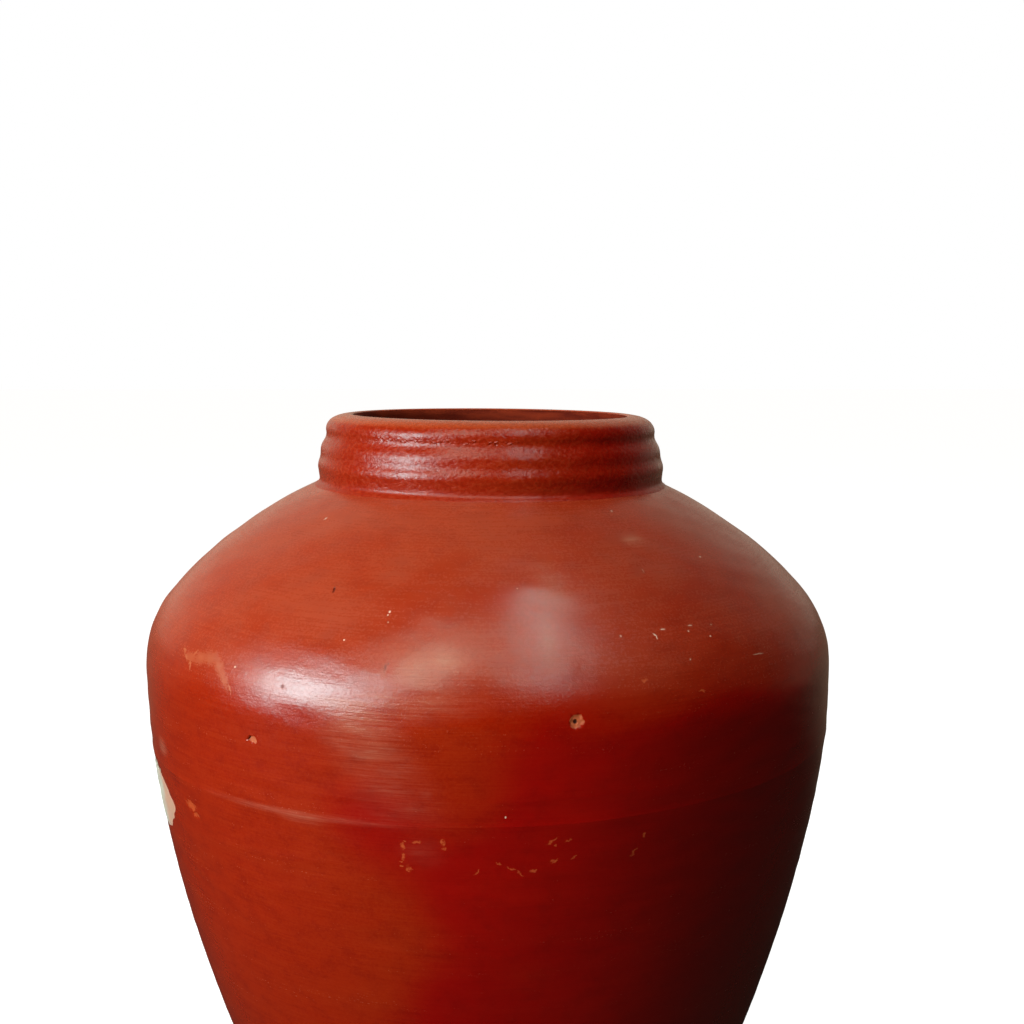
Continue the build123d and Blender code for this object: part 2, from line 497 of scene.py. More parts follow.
lower = body_line(slab_edge, fine_from, coarse) + body_line(fine_from, seam_height, fine)[1:]
lower += straight(lower[-1], groove, fine) + straight(groove, scarf, fine)
lower += [(body_radius(scarf[1] - hair, wall), scarf[1] - hair)]
lower += body_line(slab_top, seam_height, inner_step, wall)[::-1]
lower += straight(slab_corner, lower[0], coarse)[:-1]
turn_ring("lower_wall", lower)


def dished(start, end, step):
    """Points of a seat between two ends, pressed down in its middle, without its first one."""
    run = straight(start, end, step)
    return [(r, h - coil_dish * math.sin(math.pi * (n + 1) / len(run))) for n, (r, h) in enumerate(run)]


seat_inner = (mouth_radius, crown_height(mouth_radius))
opening = (mouth_radius, crown_height(mouth_radius, wall))
seat = dished(root, seat_inner, fine)
shoulder = body_line(seam_top, root_height, fine) + seat
shoulder += straight(seat_inner, opening, fine)
shoulder += body_line(scarf[1], opening[1], inner_step, wall)[-2::-1]
shoulder += straight(scarf, groove, fine)
shoulder += straight(groove, shoulder[0], fine)[:-1]
turn_ring("shoulder_wall", shoulder)

# %% The coils of the joint and of the corner
coil_bulge = 0.1
coil_steps = 10
coil_top = (body_radius(seam_top), seam_top)
coil_face = [seam]
for radius, height in straight(seam, coil_top, (seam_top - seam_height) / coil_steps):
    rise_share = (height - seam_height) / (seam_top - seam_height)
    coil_face.append((radius + coil_bulge * math.sin(math.pi * rise_share), height))
coil_back = straight(coil_top, groove, fine) + straight(groove, seam, fine)[:-1]
turn_ring("seam_coil", coil_face + coil_back)

inner_coil_height = 44.0
inner_coil_depth = 5.0
coil_foot = joint_middle - inner_coil_height / 2
coil_head = joint_middle + inner_coil_height / 2
behind = body_line(coil_foot, coil_head, inner_step / 2, wall)
front = []
for radius, height in behind[::-1][1:-1]:
    rise_share = (height - coil_foot) / inner_coil_height
    front.append((radius - inner_coil_depth * math.sin(math.pi * rise_share), height))
turn_ring("inner_seam_coil", behind + front)

cove_size = 18.0
cove_hollow = 4.5
cove_steps = 12
cove_back_step = cove_size / 4
cove_start = (slab_corner[0] - cove_size, slab_top)
cove_end = (body_radius(slab_top + cove_size, wall), slab_top + cove_size)
cove = [cove_start]
cove_step = math.dist(cove_start, cove_end) / cove_steps
for n, (radius, height) in enumerate(straight(cove_start, cove_end, cove_step)):
    dip = cove_hollow * math.sqrt(1 / 2) * math.sin(math.pi * (n + 1) / cove_steps)
    cove.append((radius + dip, height - dip))
cove_back = body_line(slab_top, cove_end[1], cove_back_step, wall)[-2::-1]
cove_foot = straight(slab_corner, cove_start, cove_back_step)[:-1]
turn_ring("base_coil", cove + cove_back + cove_foot)

# %% The coils of the neck
neck_step = 4.0


def joint_across(height, rising):
    """The dished joint at a height, from the skin to the mouth or back."""
    skin = up_to(neck_outside, height)[-1]
    run = dished(skin, (mouth_radius, height), neck_step)
    return run if rising else ([skin] + run)[::-1][1:]


lower_coil_line = up_to(neck_outside, lower_joint)
lower_coil_line += joint_across(lower_joint, rising=True)
lower_coil_line += straight((mouth_radius, lower_joint), seat_inner, neck_step)
lower_coil_line += seat[-2::-1]
turn_ring("lower_neck_coil", lower_coil_line)

upper_coil_line = up_to(down_to(neck_outside, lower_joint), lip_joint)
upper_coil_line += joint_across(lip_joint, rising=True)
upper_coil_line += straight((mouth_radius, lip_joint), (mouth_radius, lower_joint), neck_step)
upper_coil_line += joint_across(lower_joint, rising=False)[:-1]
turn_ring("upper_neck_coil", upper_coil_line)

lip_line = down_to(neck_outside, lip_joint) + neck_line[crest_at + 1 :]
lip_line += straight(neck_line[-1], (mouth_radius, lip_joint), neck_step)
lip_line += joint_across(lip_joint, rising=False)[:-1]
turn_ring("lip_coil", lip_line)

# %% [markdown]
# A jar that has carried water for years has small wounds. A lime pebble throws off a round flake, a knock
# leaves a dent, and a rope leaves a scuff. Each is written by the column and row of the photograph at which
# it shows, and a ray from the camera carries it onto the body. It is kept on a flat map of the skin, the
# way round at the belly's radius and the height, so that the mesh is hollowed and the slip is coloured at
# the same spot.

# %% From the photograph to the skin
ray_steps = 48
bpy.context.view_layer.update()
camera_turn = camera.matrix_world.to_3x3()


def seen(column, row):
    """Place on the flat map, in millimetres round and up, that shows at a pixel of the photograph."""
    half = picture_pixels / 2
    ray = camera_turn @ Vector((column - half, half - row, -focal_pixels)).normalized()
    near, far = camera_distance - 2 * belly_radius, camera_distance
    for _ in range(ray_steps):
        middle = (near + far) / 2
        point = (camera.location + middle * ray) / mm
        if math.hypot(point.x, point.y) < body_radius(min(max(point.z, 0.0), root_height)):
            far = middle
        else:
            near = middle
    return math.atan2(point.x, -point.y) * belly_radius / mm, point.z


def spot_at(column, row, wide, tall, depth=0.0):
    """A mark at a pixel, with half its width and height in pixels and its depth in millimetres."""
    around, height = seen(column, row)
    across = abs(seen(column + wide, row)[0] - seen(column - wide, row)[0]) / 2
    up = abs(seen(column, row + tall)[1] - seen(column, row - tall)[1]) / 2
    return {"around": around, "height": height, "across": across, "up": up, "turn": 0.0, "depth": depth}


def stroke(start, end, width, depth=0.0):
    """A long mark between two pixels, with half its width in millimetres."""
    (around, height), (far_around, far_height) = seen(*start), seen(*end)
    return {
        "around": (around + far_around) / 2,
        "height": (height + far_height) / 2,
        "across": math.hypot(far_around - around, far_height - height) / 2 + width,
        "up": width,
        "turn": math.degrees(math.atan2(far_height - height, far_around - around)),
        "depth": depth,
    }


def marks(*rows):
    """Marks from rows of numbers: a stroke where a row starts with a pixel, or else a spot."""
    return [stroke(*row) if isinstance(row[0], tuple) else spot_at(*row) for row in rows]


spall = spot_at(576.8, 721.4, 7.6, 8, 0.6)
spall_eye = spot_at(575.8, 722.6, 2.5, 2.4, 1.3)
chip = spot_at(253.2, 739.4, 3.7, 4.2, 0.22)
chip_slit = stroke((248, 739.8), (250.4, 736.2), 0.6, 0.7)
crown_nick = stroke((333.2, 592), (334.9, 587.6), 0.5, 0.7)
flake_top = spot_at(190.8, 805.4, 5.2, 6, 0.3)
flake_foot = spot_at(196, 815.2, 3.6, 2.6, 0.25)
chips = [spall, spall_eye, chip, chip_slit, crown_nick, flake_top, flake_foot]
dents = marks(
    (282.6, 686.6, 3.4, 2.6, 0.16), (282.6, 672, 5.5, 2.6, 0.07), (386.6, 670.5, 3.6, 8, 0.16),
    (584, 664, 9, 16, 0.12),
)
# Painted sheen where the windows reflect, mixed with pale dust.
dust_and_sheen_marks = marks(
    (408, 704, 92, 30, 0.5), (417, 672, 34, 30, 0.5), (446, 662, 26, 20, 0.8), (548, 642, 14, 38, 0.5),
    (636, 541, 17, 9, 0.8), (425, 795, 12, 8, 0.35), (422, 852, 34, 22, 0.12), (550, 586, 26, 40, 0.4),
    (161.5, 747, 5, 10, 1), (302, 819, 34, 7, 0.4),
)
# A painted streak of sheen below the main highlight.
trail_pixels = [(408, 835), (402, 815), (392, 790), (376, 765), (362, 740), (354, 716), (350, 700)]
sheen_trail = [seen(*pixel) for pixel in trail_pixels]
trail_shares = [0.0, 0.15, 0.24, 0.36, 0.55, 0.85, 0.6]
trail_width = 30.0
filler = {"around": -251.5, "height": 274.0, "across": 33.0, "up": 15.0, "turn": 0.0, "depth": 2.6}
print("spall at", [round(spall[key], 1) for key in ("around", "height", "across", "up")])


def mark_reach(mark, around, height):
    """Distance from a mark's middle as a share of its size, for arrays of places."""
    turn = math.radians(mark["turn"])
    along = around - mark["around"]
    above = height - mark["height"]
    across = along * math.cos(turn) + above * math.sin(turn)
    upward = above * math.cos(turn) - along * math.sin(turn)
    return np.hypot(across / mark["across"], upward / mark["up"])


# %% [markdown]
# A row of points every two or three millimetres is enough for the wall, but not for a chip of four. So the
# faces round each mark are subdivided, and only these.

# %% Finer clay round the marks
outer_share = 0.2
chip_margin = 2.0
slit_margin = 0.7
flank_margin = 1.6
torn_margin = 0.2


def choose_faces(ring, wanted):
    """Selects the faces of a ring for which wanted is true, given arrays of place and outward share."""
    count = len(ring.data.polygons)
    middles = np.empty(3 * count)
    normals = np.empty(3 * count)
    ring.data.polygons.foreach_get("center", middles)
    ring.data.polygons.foreach_get("normal", normals)
    x, y, z = middles.reshape(-1, 3).T / mm
    outward = (normals.reshape(-1, 3)[:, 0] * x + normals.reshape(-1, 3)[:, 1] * y) / np.hypot(x, y)
    chosen = wanted(np.arctan2(x, -y) * belly_radius / mm, z, outward)
    ring.data.vertices.foreach_set("select", np.zeros(len(ring.data.vertices), bool))
    ring.data.edges.foreach_set("select", np.zeros(len(ring.data.edges), bool))
    ring.data.polygons.foreach_set("select", chosen)
    return int(chosen.sum())


def select_only(ring):
    """Makes one ring the selected and the active object."""
    bpy.ops.object.select_all(action="DESELECT")
    ring.select_set(True)
    bpy.context.view_layer.objects.active = ring


def refine(node, places, margin, cuts):
    """Subdivides a ring's outer faces that lie within a margin of any mark, in millimetres."""
    ring = rings[node]

    def near(around, height, outward):
        inside = [mark_reach(mark, around, height) < 1 + margin / mark["up"] for mark in places]
        return np.any(inside, axis=0) & (outward > outer_share)

    select_only(ring)
    bpy.context.tool_settings.mesh_select_mode = (False, False, True)
    chosen = choose_faces(ring, near)
    bpy.ops.object.mode_set(mode="EDIT")
    bpy.ops.mesh.subdivide(number_cuts=cuts, ngon=False, quadcorner="INNERVERT")
    bpy.ops.mesh.select_all(action="DESELECT")
    bpy.ops.object.mode_set(mode="OBJECT")
    bpy.context.tool_settings.mesh_select_mode = (True, False, False)
    print(ring.name, "has", chosen, "faces made finer, now", len(ring.data.polygons))


torn_edge = {"around": -12.0, "height": 469.0, "across": 140.0, "up": 1.6, "turn": 0.0}
shoulder_marks = [mark for mark in chips + dents[:3] if mark["height"] > seam_top + fine]
refine("shoulder_wall", shoulder_marks, chip_margin, cuts=3)
refine("shoulder_wall", [spall_eye, chip_slit, crown_nick], slit_margin, cuts=1)
refine("lower_wall", [flake_top, flake_foot, filler], flank_margin, cuts=2)
refine("lip_coil", [torn_edge], torn_margin, cuts=3)

# %% [markdown]
# The hand now touches every ring, since turned perfectly round they would look cast. The neck was set a
# little to one side, the wall sways and leans, soft hollows show where the paddle met the anvil, and the
# pebble leaves long low facets. All of this is one field of the place on the skin, so two rings that meet
# are moved alike and their joint stays closed.

# %% How deep a point lies under the skin
neck_heights = [height for radius, height in neck_outside]
neck_radii = [radius for radius, height in neck_outside]


def under_skin(radius, height):
    """Depth under the skin, and the share of outward that points along the radius and up."""
    out = np.ones_like(radius)
    up = np.zeros_like(radius)
    depth = np.interp(height, neck_heights, neck_radii) - radius
    bearing = np.arctan2(height - round_arc[0][1], radius - round_arc[0][0])
    body = height <= root_height + hair
    below_belly = height <= belly_height + hair
    below_seam = height <= seam_height + hair
    crown = body & ~below_belly & ((bearing > crown_turn) | (radius < round_arc[0][0]))
    arcs = [
        (crown, crown_arc),
        (body & ~below_belly & ~crown, round_arc),
        (below_belly & ~below_seam, band_arc),
        (below_seam, lower_arc),
    ]
    for held, ((middle, level), curve) in arcs:
        away = np.hypot(radius - middle, height - level)
        out = np.where(held, (radius - middle) / away, out)
        up = np.where(held, (height - level) / away, up)
        depth = np.where(held, curve - away, depth)
    return depth, out, up


# %% Fields on the skin
# For each field: how often its waves go round the jar, their lengths in millimetres, their number, the seed.
waves = {
    "oval": ((2, 3), (500, 900), 4, 2),
    "hollows": ((4, 13), (70, 190), 26, 3),
    "facets": ((8, 36), (9, 24), 60, 4),
    "strength": ((2, 6), (300, 600), 6, 5),
    "ragged": ((150, 420), (2.2, 6.0), 24, 6),
    "fingers": ((0, 4), (15, 34), 20, 7),
    "torn_sway": ((12, 70), (1000, 2000), 20, 8),
    "torn_steps": ((60, 160), (1000, 2000), 20, 9),
    "crumbs": ((120, 300), (2.0, 5.0), 24, 10),
    "lumps": ((12, 60), (9, 40), 30, 11),
    "held": ((14, 60), (1000, 2000), 20, 12),
    # These waves move the edges of the painted light and shade.
    "light_drift": ((2, 14), (60, 200), 24, 14),
    # These waves drift the painted sheen as well as the dust.
    "dust": ((6, 50), (5, 22), 30, 15),
}


def ripples(field, azimuth, height):
    """Smooth unevenness of about unit size, from waves that close round the jar."""
    turns, lengths, count, seed = waves[field]
    chance = np.random.default_rng(seed)
    total = np.zeros_like(height)
    for _ in range(count):
        around = int(chance.integers(turns[0], turns[1] + 1))
        length = chance.uniform(*lengths) * chance.choice((-1, 1))
        total += np.sin(around * azimuth + 2 * math.pi * (height / length + chance.uniform()))
    return total / math.sqrt(count / 2)


def bell(value, middle, width):
    """A smooth bump of height one."""
    return np.exp(-(((value - middle) / width) ** 2))


def rise(value, low, high):
    """Smooth step from 0 at low to 1 at high, or the other way when low is the larger."""
    share = np.clip((value - low) / (high - low), 0, 1)
    return share * share * (3 - 2 * share)


# %% The touch of the hand
lean_heights = [0.0, 60.0, 303.0, 338.0, 420.0, 480.0]
lean_slopes = [0.0, 0.004, 0.016, 0.010, -0.0085, -0.0085]
sway_heights = [0.0, 250.0, 300.0, 360.0, 400.0, 425.0, 441.0, 480.0]
sway_widths = [0.0, 1.1, 1.1, -0.5, 0.0, 0.7, 1.4, 1.4]
out_of_round = 0.15
broad_hollows = 0.16
pebble_facets = 0.055
strength_share = 0.2
seam_ridge = 0.2
ridge_place = (296.5, 2.2)
seam_furrow = 0.1
furrow_place = (302.5, 3.4)
upper_ridge = 0.12
upper_ridge_place = (309.5, 3.0)
left_line_deep = 0.2
left_line_height = 270.5
left_line_width = 1.8
left_line_slope = 0.18
left_line_from = (-62, -48)
left_line_middle = -42
left_line_until = (-14, -24)
crown_drop = 0.8
drop_from = (398.0, 418.0)
drop_until = (446.0, 439.0)
ragged_share = 0.12
filler_edge_shares = (1.0, 0.93)
chip_edge_shares = (1.0, 0.6)
dent_edge_shares = (1.4, 0.0)


def skin_shape(azimuth, height):
    """How far the hand left the outer skin from its template, in millimetres."""
    degrees = np.degrees(azimuth)
    shape = broad_hollows * ripples("hollows", azimuth, height)
    shape += pebble_facets * ripples("facets", azimuth, height)
    strength = 1 - strength_share + strength_share * ripples("strength", azimuth, height)
    shape += seam_ridge * strength * bell(height, *ridge_place)
    shape -= seam_furrow * strength * bell(height, *furrow_place)
    shape += upper_ridge * strength * bell(height, *upper_ridge_place)
    left_line = rise(degrees, *left_line_from) * rise(degrees, *left_line_until)
    left_line_at = left_line_height + left_line_slope * (degrees - left_line_middle)
    shape += left_line_deep * left_line * bell(height, left_line_at, left_line_width)
    shape -= crown_drop * rise(height, *drop_from) * rise(height, *drop_until)
    return shape


def mark_shape(azimuth, height):
    """How far the marks are hollowed out of the skin."""
    around = azimuth * belly_radius / mm
    ragged = 1 + ragged_share * ripples("ragged", azimuth, height)
    shape = np.zeros_like(height)
    for mark in chips:
        shape -= mark["depth"] * rise(mark_reach(mark, around, height) * ragged, *chip_edge_shares)
    for mark in dents:
        shape -= mark["depth"] * rise(mark_reach(mark, around, height), *dent_edge_shares)
    return shape - filler["depth"] * rise(mark_reach(filler, around, height), *filler_edge_shares)


# %% The torn edge under the lip
torn_from = (-42, -35)
torn_until = (16, 2)
torn_height = 468.8
torn_sway = 0.45
torn_step = 0.35
torn_over = (467.3, 467.9)
held_range = (-0.6, 0.4)
held_least_share = 0.35
lap_rise = 0.15
lap_end = 1.3
lap_fall = 0.2
lap_height = 0.26
lap_crumbs = 0.2
pit_depth = 0.2
pit_drop = 0.7
pit_width = 0.7


def torn_shape(azimuth, height):
    """The torn edge along the lip, where the wet coil was dragged over the one below it."""
    degrees = np.degrees(azimuth)
    edge = torn_height + torn_sway * ripples("torn_sway", azimuth, height)
    edge = edge + torn_step * np.sign(ripples("torn_steps", azimuth, height))
    crumbs = ripples("crumbs", azimuth, height)
    torn = rise(degrees, *torn_from) * rise(degrees, *torn_until) * rise(height, *torn_over)
    held = held_least_share + (1 - held_least_share) * rise(ripples("held", azimuth, height), *held_range)
    lap = rise(height, edge - lap_rise, edge + lap_rise) * rise(height, edge + lap_end, edge + lap_fall)
    pits = pit_depth * np.maximum(-crumbs, 0) * bell(height, edge - pit_drop, pit_width)
    return torn * held * (lap * (lap_height + lap_crumbs * np.maximum(crumbs, -1)) - pits)


# %% What the finish needs to know of each point
# Painted light and shade are stored here: lighter and more orange on the crown and the left flank that the
# windows light, darker on the shaded right. Painted sheen is stored with the dust.
crown_drift = 5
crown_heights = (335.0, 365.0)
crown_right = (20.0, 120.0)
crown_right_share = 0.45
flank_drift = 14
flank_places = (-5.0, -75.0)
flank_foot = 302.0
flank_rise = 60
flank_share = 0.85
dark_drift = 6
dark_places = (35.0, 135.0)
dark_heights = (352.0, 326.0)
# A painted glint along the seam ridge, with pale dust.
ridge_height = 295.5
ridge_slope = 0.012
ridge_middle = -130
ridge_width = 1.3
ridge_from = (-20.0, -90.0)
ridge_until = (-170.0, -115.0)
ridge_dust_and_glint_share = 0.5
drift_shares = (0.9, 0.16)


def painted_light_and_shade(azimuth, x, height):
    """Painted light and shade: over 0 lighter and orange on the crown and left flank, below 0 darker on the
    right.
    """
    drift = ripples("light_drift", azimuth, height)
    crown = rise(height + crown_drift * drift, *crown_heights)
    crown = crown * (1 - crown_right_share * rise(x, *crown_right))
    flank = rise(x + flank_drift * drift - np.clip(height - flank_foot, 0, flank_rise), *flank_places)
    dark_side = rise(x, *dark_places) * rise(height + dark_drift * drift, *dark_heights)
    return np.maximum(crown, flank_share * flank) - dark_side


def dust_and_sheen_share(azimuth, height):
    """Painted sheen mixed with pale dust: below the shoulder on the left, along the seam, and in a few
    smears.
    """
    around = azimuth * belly_radius / mm
    zones = [mark["depth"] * rise(mark_reach(mark, around, height), 1.0, 0.0) for mark in dust_and_sheen_marks]
    trail_arounds, trail_heights = zip(*sheen_trail)
    aside = np.abs(around - np.interp(height, trail_heights, trail_arounds))
    zones.append(np.interp(height, trail_heights, trail_shares, 0, 0) * rise(aside, trail_width, 0.0))
    ridge = bell(height, ridge_height + ridge_slope * (around - ridge_middle), ridge_width)
    ridge = ridge * rise(around, *ridge_from) * rise(around, *ridge_until)
    drift = drift_shares[0] + drift_shares[1] * ripples("dust", azimuth, height)
    return np.clip(np.maximum(np.max(zones, axis=0), ridge_dust_and_glint_share * ridge) * drift, 0, 1)


# %% Touch the rings
skin_depth = 4.0
finger_lines = 0.45
lifted_heights = (2.0, 45.0)
inside_depths = (5.0, 9.0)
face_depth = 0.5
exact_depth = 0.05


def read_points(mesh):
    """The places of a mesh's points in millimetres, as three rows."""
    flat = np.empty(3 * len(mesh.vertices))
    mesh.vertices.foreach_get("co", flat)
    return flat.reshape(-1, 3).T / mm


def write_points(mesh, x, y, height):
    """Moves a mesh's points to places in millimetres."""
    mesh.vertices.foreach_set("co", (np.stack((x, y, height), axis=1) * mm).ravel())
    mesh.update()


def leaning(azimuth, radius, height, climb, lifted=1.0):
    """Places of points that climbed a little, once the whole jar sways and leans."""
    x = np.sin(azimuth) * radius + np.interp(height, sway_heights, sway_widths)
    y = -np.cos(azimuth) * radius
    return x, y, height + climb + np.interp(height, lean_heights, lean_slopes) * x * lifted


def write_share(ring, name, share):
    """Stores one value for each point, for the finish to read."""
    ring.data.attributes.new(name, "FLOAT", "POINT").data.foreach_set("value", share.astype(np.float32))


def touch(ring):
    """Moves a ring's points as the hand left them, and writes what its finish needs to know of each."""
    x, y, height = read_points(ring.data)
    azimuth = np.arctan2(x, -y)
    radius = np.hypot(x, y)
    depth, out, up = under_skin(radius, height)
    lifted = rise(height, *lifted_heights)
    on_skin = np.clip(1 - np.abs(depth) / skin_depth, 0, 1)
    on_face = np.abs(depth) < face_depth
    inner = rise(depth, skin_depth, 2 * skin_depth) * finger_lines * ripples("fingers", azimuth, height)
    shift = out_of_round * ripples("oval", azimuth, height)
    shift += on_skin * skin_shape(azimuth, height) + (1 - on_skin) * inner
    shift = shift * lifted + np.where(np.abs(depth) < exact_depth, depth, 0)
    shift += np.where(on_face, torn_shape(azimuth, height), 0)
    x, y, height = leaning(azimuth, radius + out * shift, height, up * shift, lifted)
    azimuth = np.arctan2(x, -y)
    hollow = np.where(on_face, mark_shape(azimuth, height), 0)
    x += hollow * out * np.sin(azimuth)
    y -= hollow * out * np.cos(azimuth)
    height += hollow * up
    write_points(ring.data, x, y, height)
    write_share(ring, "inside", rise(depth, *inside_depths))
    write_share(ring, "light_and_shade", painted_light_and_shade(azimuth, x, height))
    write_share(ring, "dust_and_sheen", dust_and_sheen_share(azimuth, height))
    print(ring.name, "moved by up to", round(float(np.abs(shift + hollow).max()), 2), "mm")


for ring in rings.values():
    touch(ring)

# %% [markdown]
# On the left flank a spall was filled with lime putty. The patch starts as a flat disc of nested rings,
# gets its thickness while flat, and is then wrapped onto the flank. The putty followed the break, so the
# radius of the disc varies with the direction.

# %% The filler
patch_rings = 12
patch_points = 160
edge_mean_share = 0.98
edge_wave_shares = [(0.03, 3, 1), (0.02, 7, 2), (0.02, 13, 0)]
edge_bulge_shares = [(0.30, 0.0, 0.9), (0.30, -1.2, 0.5), (-0.06, -0.25, 0.1)]
lump_height = 0.14
lump_edge_shares = (1.0, 0.8)
face_height = 0.40
face_edge_shares = (1.0, 0.88)
face_sunk = 0.15
top_level = 0.5

bpy.ops.object.select_all(action="DESELECT")
bpy.ops.mesh.primitive_circle_add(vertices=patch_points, radius=mm, fill_type="NGON", location=(0, 0, 0))
patch = bpy.context.object
patch.name = patch.data.name = "jar_filler_patch"
bpy.ops.object.mode_set(mode="EDIT")
bpy.ops.mesh.select_all(action="SELECT")
for _ in range(patch_rings):
    bpy.ops.mesh.inset(thickness=mm / (patch_rings + 1))
bpy.ops.mesh.poke()
bpy.ops.mesh.select_all(action="SELECT")
bpy.ops.mesh.extrude_region_move(TRANSFORM_OT_translate={"value": (0, 0, mm)})
bpy.ops.object.mode_set(mode="OBJECT")

x, y, level = read_points(patch.data)
angle = np.arctan2(y, x)
reach = np.hypot(x, y)
edge_share = edge_mean_share + sum(share * np.sin(n * angle + start) for share, n, start in edge_wave_shares)
edge_share += sum(share * bell(angle, middle, width) for share, middle, width in edge_bulge_shares)
around = filler["around"] + x * edge_share * filler["across"]
height = filler["height"] + y * edge_share * filler["up"]
azimuth = around * mm / belly_radius
lumps = lump_height * ripples("lumps", azimuth, height)
face = face_height * rise(reach, *face_edge_shares) - face_sunk + lumps * rise(reach, *lump_edge_shares)
shared = out_of_round * ripples("oval", azimuth, height) + skin_shape(azimuth, height)
offset = np.where(level > top_level, face, -filler["depth"]) + shared
skin = np.array([body_radius(h) for h in height])
depth, out, up = under_skin(skin, height)
x, y, height = leaning(azimuth, skin + out * offset, height, up * offset)
write_points(patch.data, x, y, height)
select_only(patch)
bpy.ops.object.mode_set(mode="EDIT")
bpy.ops.mesh.select_all(action="SELECT")
bpy.ops.mesh.normals_make_consistent(inside=False)
bpy.ops.object.mode_set(mode="OBJECT")
print("filler spans", round(float(height.min())), "to", round(float(height.max())), "mm up the flank")

# %% [markdown]
# The slip is a thin coat of red clay, brushed on in bands and rubbed with a pebble while it is leather
# hard. So it has patches where the coat is thicker, the bands of the brush, the fine lines of the pebble
# round the pot, and dust in what the pebble missed. Light and shade are painted on it too: more orange
# where the windows light the crown and the left flank, darker red on the shaded right, and pale sheen where
# the windows reflect. The lines are noise on Object coordinates, stretched along the horizontal, so they
# need no seam.


# %% Helpers for the finishes
# For each noise: the width and height of its lumps in metres, its detail, its roughness and its shift.
grains = {
    "patches_and_shade": (0.10, 0.08, 3, 0.5, 0),
    "bands": (0.14, 0.010, 4, 0.55, 3),
    "cloud": (0.055, 0.03, 4, 0.55, 11),
    "lines": (0.034, 0.0009, 3, 0.6, 5),
    "mottle": (0.012, 0.009, 4, 0.65, 7),
    "dapple": (0.0015, 0.0012, 4, 0.75, 8),
    "dashes": (0.008, 0.0007, 2, 0.5, 17),
    "crumbs": (0.0012, 0.0010, 2, 0.6, 19),
    "neck_bands": (0.10, 0.008, 4, 0.55, 3),
    "neck_mottle": (0.012, 0.006, 4, 0.65, 7),
    "pores": (0.0024, 0.0019, 3, 0.6, 23),
    "grit": (0.0020, 0.0018, 3, 0.7, 31),
    "foot_stain": (0.05, 0.02, 4, 0.6, 33),
    "lime_stain": (0.012, 0.008, 5, 0.6, 2),
    "powder": (0.0012, 0.0012, 3, 0.6, 4),
    "inner_stain": (0.03, 0.006, 4, 0.6, 13),
}


def grain(place, name):
    """Noise from 0 to 1, with the lumps that the table gives."""
    across, tall, detail, rough, shift = grains[name]
    scale = (1 / across, 1 / across, 1 / tall)
    mapped = place.node("ShaderNodeMapping", {"Vector": place, "Scale": scale, "Location": (shift,) * 3})
    inputs = {"Vector": mapped, "Scale": 1.0, "Detail": detail, "Roughness": rough}
    return place.node("ShaderNodeTexNoise", inputs)


def upward_share(place):
    """How far the surface faces up."""
    geometry = place.tree.nodes.new("ShaderNodeNewGeometry")
    return Socket(place.tree, geometry.outputs["Normal"]).part(z_axis)


def stored(place, name):
    """A value that was written on the points."""
    return place.node("ShaderNodeAttribute", {}, out=2, attribute_name=name)


def raised(surface, depth):
    """The normal of a surface that stands up by a depth in metres where its value is 1."""
    return surface.node("ShaderNodeBump", {"Height": surface, "Strength": 1.0, "Distance": depth})


def over_skin(place):
    """The flat map of the skin, in metres round and up, and the height on it."""
    x, y, z = place.part(x_axis), place.part(y_axis), place.part(z_axis)
    around = place.maths("ARCTAN2", x, 0 - y) * belly_radius
    return place.node("ShaderNodeCombineXYZ", {0: around, 1: z, 2: 0.0}), z


def from_mark(flat_map, mark):
    """Distance from a mark's middle on the flat map, as a share of its size."""
    inputs = {
        "Vector": flat_map,
        "Location": (mark["around"] * mm, mark["height"] * mm, 0),
        "Rotation": (0, 0, math.radians(mark["turn"])),
        "Scale": (mark["across"] * mm, mark["up"] * mm, 1),
    }
    mapped = flat_map.node("ShaderNodeMapping", inputs, vector_type="TEXTURE")
    return flat_map.node("ShaderNodeVectorMath", {0: mapped}, out=1, operation="LENGTH")


def marked(flat_map, places, edge_share):
    """Mask of 1 inside any of the marks, fading out from a share of their size."""
    nearest = from_mark(flat_map, places[0])
    for mark in places[1:]:
        nearest = nearest.least(from_mark(flat_map, mark))
    return nearest.between(1.0, edge_share)


# %% [markdown]
# These marks are only in the slip: a curled scuff with a pale tail on the left shoulder, flakes where the
# slip has worn through low on the front, white specks and short scratches, and a few dark spots in dents,
# which are painted shade.

# %% Wear that has no depth, and painted shade in dents
scuff_lines = marks(
    ((191.5, 655.5), (199.8, 650.6), 0.8), ((190.6, 659), (190.2, 670), 1.5),
    ((185, 646), (185.4, 653), 0.9), ((185.4, 653), (189, 659.5), 1), ((227.6, 680), (232.4, 696), 0.9),
)
scuff_bands = marks(
    (191.5, 657.5, 9, 8), ((194, 658), (207, 657.5), 5), ((203, 657), (219, 659.5), 5),
    ((216, 658), (223, 674), 4.6), ((221, 668), (227.5, 688), 3.8),
)
worn = [flake_top, flake_foot] + marks(
    ((411.5, 842.5), (422, 841.5), 0.9), (404, 841.4, 2.2, 1.2), (402.8, 846, 2.6, 5.5),
    (403.6, 856.5, 3, 5), (401, 861, 3, 1.5), (409.5, 868.5, 4, 3.8), (401.5, 865.8, 3, 1.5),
    (443, 843, 2.6, 4.2), (443.8, 849, 3.4, 1.9), ((473.6, 874), (478.6, 871), 0.7),
    ((495.5, 863), (501, 865), 0.7), ((507, 867), (516, 870.5), 0.7), ((516, 870.5), (525, 876), 0.7),
    (533, 871.2, 4.6, 2.2), ((545.5, 844.6), (558.6, 837.4), 1), (555.4, 845.3, 1.9, 1.5),
    ((565, 842), (572, 839), 0.8), ((550.5, 863), (557.8, 858.5), 1.2),
    ((570.5, 859), (576.8, 855.2), 0.8), ((630.5, 856), (636.5, 847), 0.9), (644, 835, 2.6, 3.6),
    (645, 680, 4.2, 2.4), (702.5, 690.5, 5, 1.6),
)
